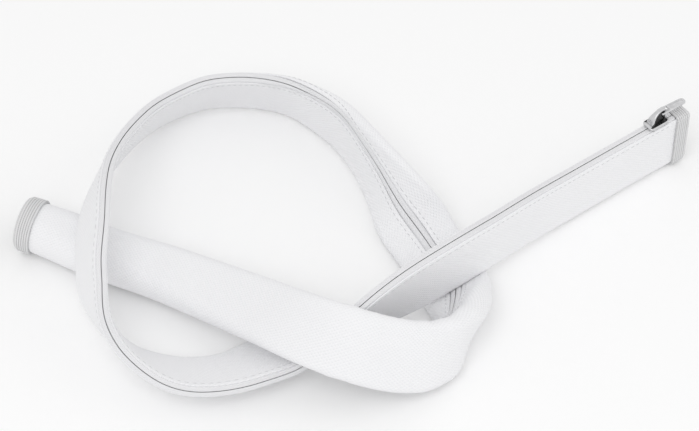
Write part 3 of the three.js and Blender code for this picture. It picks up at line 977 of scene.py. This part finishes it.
class SLEEVE_OT_slider(bpy.types.Operator):
    """Casts the slider: two plates, side flanges, the neck between the tapes and the crown over the top"""

    bl_idname = "sleeve.slider"
    bl_label = "Slider Body"

    def execute(self, context):
        sizes, colours = context.scene.sleeve_slider, context.scene.sleeve_colours
        half, side = sizes.length / MM / 2, sizes.width / MM / 2
        plate = box_piece("slider_casting", (-half, -side, PLATE_BOTTOM), (half, side, PLATE_TOP))
        edit(plate, edges_where(lambda m, d: abs(d.z) > 0.9 and m.x > 0), bevel(3.3, 8))
        edit(plate, edges_where(lambda m, d: abs(d.z) > 0.9 and m.x < -half + 0.5), bevel(1.5, 4))
        soften(plate, "Soft rim", 0.35 * MM, 3, 60, use_clamp_overlap=True)
        flanges = []
        for y0, y1 in ((-side, -FLANGE_INNER), (FLANGE_INNER, side)):
            flange = box_piece("flange", (-half + 1.7, y0, FLANGE_BOTTOM), (2.9, y1, PLATE_BOTTOM + 0.4))
            soften(flange, "Soft rim", 0.15 * MM, 2, 60, use_clamp_overlap=True)
            flanges.append(flange)
        neck = box_piece(
            "neck", (1.6, -NECK_HALF, LOWER_TOP - 0.2), (5.2, NECK_HALF, PLATE_BOTTOM + 0.2)
        )
        lower = box_piece("lower_plate", (-half + 1.2, -2.2, LOWER_BOTTOM), (half - 0.8, 2.2, LOWER_TOP))
        edit(lower, edges_where(lambda m, d: abs(d.z) > 0.9), bevel(1.2, 4))
        soften(lower, "Soft rim", 0.2 * MM, 2, 60, use_clamp_overlap=True)
        join_solids(plate, [*flanges, neck, lower, self.crown()])
        soften(plate, "Cast edges", 0.12 * MM, 2, 40, use_clamp_overlap=True)
        metal = finish("Plated metal", plated_metal, tuple(colours.metal))
        # A near-black copy of the plating paints the shade that falls inside the crown's eye and on the
        # plate under it.
        recess_shade = finish("Painted shade plating", plated_metal, tuple(c * 0.09 for c in colours.metal))
        at = slider_place()
        plate.data.materials.append(metal)
        plate.data.materials.append(recess_shade)
        self.paint_recess_shade(plate)
        set_down(plate, at)
        smooth(plate, 35)
        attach(plate, "slider")
        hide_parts("slider_body")
        return {"FINISHED"}

    def crown(self):
        """A strap that springs wide from the plate's back, runs over the pull's bar and meets the nose."""
        steps = 2 * CROWN_STEPS
        crown = straight_sheet("crown", steps, -1, 1, steps, 1)
        apply_modifier(crown, "SOLIDIFY", "Strap", thickness=1, offset=0)
        co = points_of(crown)
        at = np.clip(np.rint(co[:, 0]).astype(int), 0, steps)
        outer, inner = crown_line(CROWN_OUTER)[at], crown_line(CROWN_INNER)[at]
        line = np.where(co[:, 2:3] > 0, outer, inner)
        spring = np.clip(1 - at / (CROWN_STEPS * 0.8), 0, 1)
        width = 1.1 + 1.1 * ease(spring)
        placed = np.column_stack([line[:, 0], np.sign(co[:, 1]) * width, line[:, 1]]) * MM
        move_points(crown, placed)
        outward(crown)
        soften(crown, "Round edges", 0.3 * MM, 3, 60, use_clamp_overlap=True)
        return crown

    def paint_recess_shade(self, plate):
        """The faces inside the crown's eye and on the plate below it take the near-black painted shade,
        which stands in for the shade that falls there.
        """
        inner = crown_line(CROWN_INNER)
        for face in plate.data.polygons:
            x, y, z = (c / MM for c in face.center)
            to_eye = Vector((EYE_MIDDLE[0] - x, 0, EYE_MIDDLE[1] - z)).normalized()
            near = np.min(np.hypot(inner[:, 0] - x, inner[:, 1] - z)) < 0.45
            lining = near and z > PLATE_TOP + 0.1 and face.normal.dot(to_eye) > 0.3
            on_plate = abs(z - PLATE_TOP) < 0.1 and face.normal.z > 0.8
            below = on_plate and -3.4 < x < 4.0 and abs(y) < 2.0
            face.material_index = 1 if lining or below else 0


class SLEEVE_OT_pull(bpy.types.Operator):
    """Cuts the pull: an eye round the crown and a long tongue with a sunk face"""

    bl_idname = "sleeve.pull"
    bl_label = "Pull Tab"

    def execute(self, context):
        sizes, colours = context.scene.sleeve_slider, context.scene.sleeve_colours
        length, side = sizes.pull_length / MM, sizes.pull_width / MM / 2
        pull = box_piece(
            "pull_tongue", (-0.9, -side, -PULL_HALF_THICKNESS), (length, side, PULL_HALF_THICKNESS)
        )
        edit(pull, edges_where(lambda m, d: abs(d.z) > 0.9 and m.x > length - 1), bevel(1.9, 8))
        edit(pull, edges_where(lambda m, d: abs(d.z) > 0.9 and m.x < 0), bevel(0.7, 4))
        soften(pull, "Soft edges", 0.28 * MM, 3, 60)
        eye = box_piece("eye", (0.5, -1.5, -2), (4.4, 1.5, 2))
        edit(eye, edges_where(lambda m, d: abs(d.z) > 0.9), bevel(0.5, 3))
        sunk = box_piece("sunk_face", (6.4, -1.1, 0.24), (length - 1.5, 1.1, 2))
        edit(sunk, edges_where(lambda m, d: abs(d.z) > 0.9), bevel(0.9, 5))
        join_solids(pull, [eye, sunk], "DIFFERENCE")
        # The tongue narrows a little past the eye.
        co = points_of(pull)
        waist = np.clip((co[:, 0] / MM - 5.0) / 2.0, 0, 1)
        co[:, 1] *= 1 - 0.16 * ease(waist)
        move_points(pull, co)
        soften(pull, "Cast edges", 0.08 * MM, 2, 50, use_clamp_overlap=True)
        turn = Matrix.Rotation(PULL_REST_ANGLE, 3, "Y")
        move_points(pull, points_of(pull) @ np.array(turn).T)
        set_down(pull, slider_place() + HINGE)
        smooth(pull, 35)
        metal = finish("Plated metal", plated_metal, tuple(colours.metal))
        place_piece(pull, "tab", "slider_metal", metal, "pull_tab")
        return {"FINISHED"}


CAMERA_TARGET = Vector((-3.81, 2.71, 0.53)) * MM
FLOOR_SIZE = 8
FLOOR_GAP = 0.3 * MM


class SLEEVE_OT_stage(bpy.types.Operator):
    """Sets the pale floor, the even light and the camera"""

    bl_idname = "sleeve.stage"
    bl_label = "Stage"

    def execute(self, context):
        stage = context.scene.sleeve_stage
        context.scene.view_settings.view_transform = "Standard"
        fresh()
        bpy.ops.mesh.primitive_plane_add(size=FLOOR_SIZE, location=(0, 0, -FLOOR_GAP))
        floor = bpy.context.object
        floor.name = "floor"
        paper = Nodes("Floor paper", tuple(stage.floor), 0.95)
        paper.shader.inputs["Specular IOR Level"].default_value = 0.0
        floor.data.materials.append(paper.material)
        self.sky(context.scene, stage.sky)
        lamps = (
            ("soft_key", (-0.9, -0.7, 1.7), 1.4, stage.lamp),
            ("soft_fill", (1.2, -1.0, 1.2), 1.6, stage.lamp * 0.25),
        )
        for name, place, size, power in lamps:
            bpy.ops.object.light_add(type="AREA", location=place)
            lamp = bpy.context.object
            lamp.name = name
            lamp.data.shape = "DISK"
            lamp.data.size = size
            lamp.data.energy = power
            lamp.rotation_euler = (-Vector(place)).to_track_quat("-Z", "Y").to_euler()
        self.camera(context.scene, stage)
        return {"FINISHED"}

    def sky(self, scene, strength):
        """An even white sky that lights the object softly, and is plain white where it is seen."""
        world = bpy.data.worlds.new("Pale sky")
        scene.world = world
        world.use_nodes = True
        tree = world.node_tree
        tree.nodes.clear()
        light = tree.nodes.new("ShaderNodeBackground")
        light.inputs["Strength"].default_value = strength
        seen = tree.nodes.new("ShaderNodeBackground")
        seen.inputs["Strength"].default_value = 1.0
        for node in (light, seen):
            node.inputs["Color"].default_value = (1, 1, 1, 1)
        path = tree.nodes.new("ShaderNodeLightPath")
        first = tree.nodes.new("ShaderNodeMath")
        second = tree.nodes.new("ShaderNodeMath")
        first.operation = second.operation = "MAXIMUM"
        tree.links.new(path.outputs["Is Camera Ray"], first.inputs[0])
        tree.links.new(path.outputs["Is Glossy Ray"], first.inputs[1])
        tree.links.new(first.outputs[0], second.inputs[0])
        tree.links.new(path.outputs["Is Transmission Ray"], second.inputs[1])
        mix = tree.nodes.new("ShaderNodeMixShader")
        out = tree.nodes.new("ShaderNodeOutputWorld")
        tree.links.new(second.outputs[0], mix.inputs[0])
        tree.links.new(light.outputs[0], mix.inputs[1])
        tree.links.new(seen.outputs[0], mix.inputs[2])
        tree.links.new(mix.outputs[0], out.inputs["Surface"])

    def camera(self, scene, stage):
        a, e = stage.azimuth, stage.elevation
        back = Vector((math.sin(a) * math.cos(e), -math.cos(a) * math.cos(e), math.sin(e)))
        bpy.ops.object.camera_add(location=CAMERA_TARGET + back * stage.distance)
        camera = bpy.context.object
        camera.name = "photo_camera"
        camera.rotation_euler = (-back).to_track_quat("-Z", "Y").to_euler()
        camera.data.lens = stage.lens
        camera.data.sensor_width = 36
        camera.data.sensor_fit = "HORIZONTAL"
        camera.data.clip_start, camera.data.clip_end = 0.01, 20
        scene.camera = camera


BUTTONS = (
    "sleeve.cloth", "sleeve.zip_tapes", "sleeve.zip_coils", "sleeve.stitches", "sleeve.bindings",
    "sleeve.slider", "sleeve.pull", "sleeve.stage",
)


class SLEEVE_PT_panel(bpy.types.Panel):
    """Lists the sleeve's sizes, colours and pieces"""

    bl_label = "Cable Sleeve"
    bl_idname = "SLEEVE_PT_panel"
    bl_space_type = "VIEW_3D"
    bl_region_type = "UI"
    bl_category = "Sleeve"

    def draw(self, context):
        for name, _ in GROUPS:
            settings = getattr(context.scene, name)
            column = self.layout.box().column()
            for key in settings.__annotations__:
                column.prop(settings, key)
        for idname in BUTTONS:
            self.layout.operator(idname)


GROUPS = (
    ("sleeve_sizes", SleeveSizes),
    ("sleeve_zip", ZipSizes),
    ("sleeve_bindings", BindingSizes),
    ("sleeve_slider", SliderSizes),
    ("sleeve_colours", FinishColours),
    ("sleeve_stage", StageSettings),
)
CLASSES = (
    *(group for _, group in GROUPS),
    SLEEVE_OT_cloth,
    SLEEVE_OT_zip_tapes,
    SLEEVE_OT_zip_coils,
    SLEEVE_OT_stitches,
    SLEEVE_OT_bindings,
    SLEEVE_OT_slider,
    SLEEVE_OT_pull,
    SLEEVE_OT_stage,
    SLEEVE_PT_panel,
)


def register():
    for cls in CLASSES:
        bpy.utils.register_class(cls)
    for name, group in GROUPS:
        setattr(bpy.types.Scene, name, PointerProperty(type=group))


def unregister():
    for name, _ in reversed(GROUPS):
        delattr(bpy.types.Scene, name)
    for cls in reversed(CLASSES):
        bpy.utils.unregister_class(cls)


def main():
    register()
    bpy.ops.sleeve.cloth()
    bpy.ops.sleeve.zip_tapes()
    bpy.ops.sleeve.zip_coils()
    bpy.ops.sleeve.stitches()
    bpy.ops.sleeve.bindings()
    bpy.ops.sleeve.slider()
    bpy.ops.sleeve.pull()
    bpy.ops.sleeve.stage()
    fresh()
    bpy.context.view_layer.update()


if __name__ == "__main__":
    main()
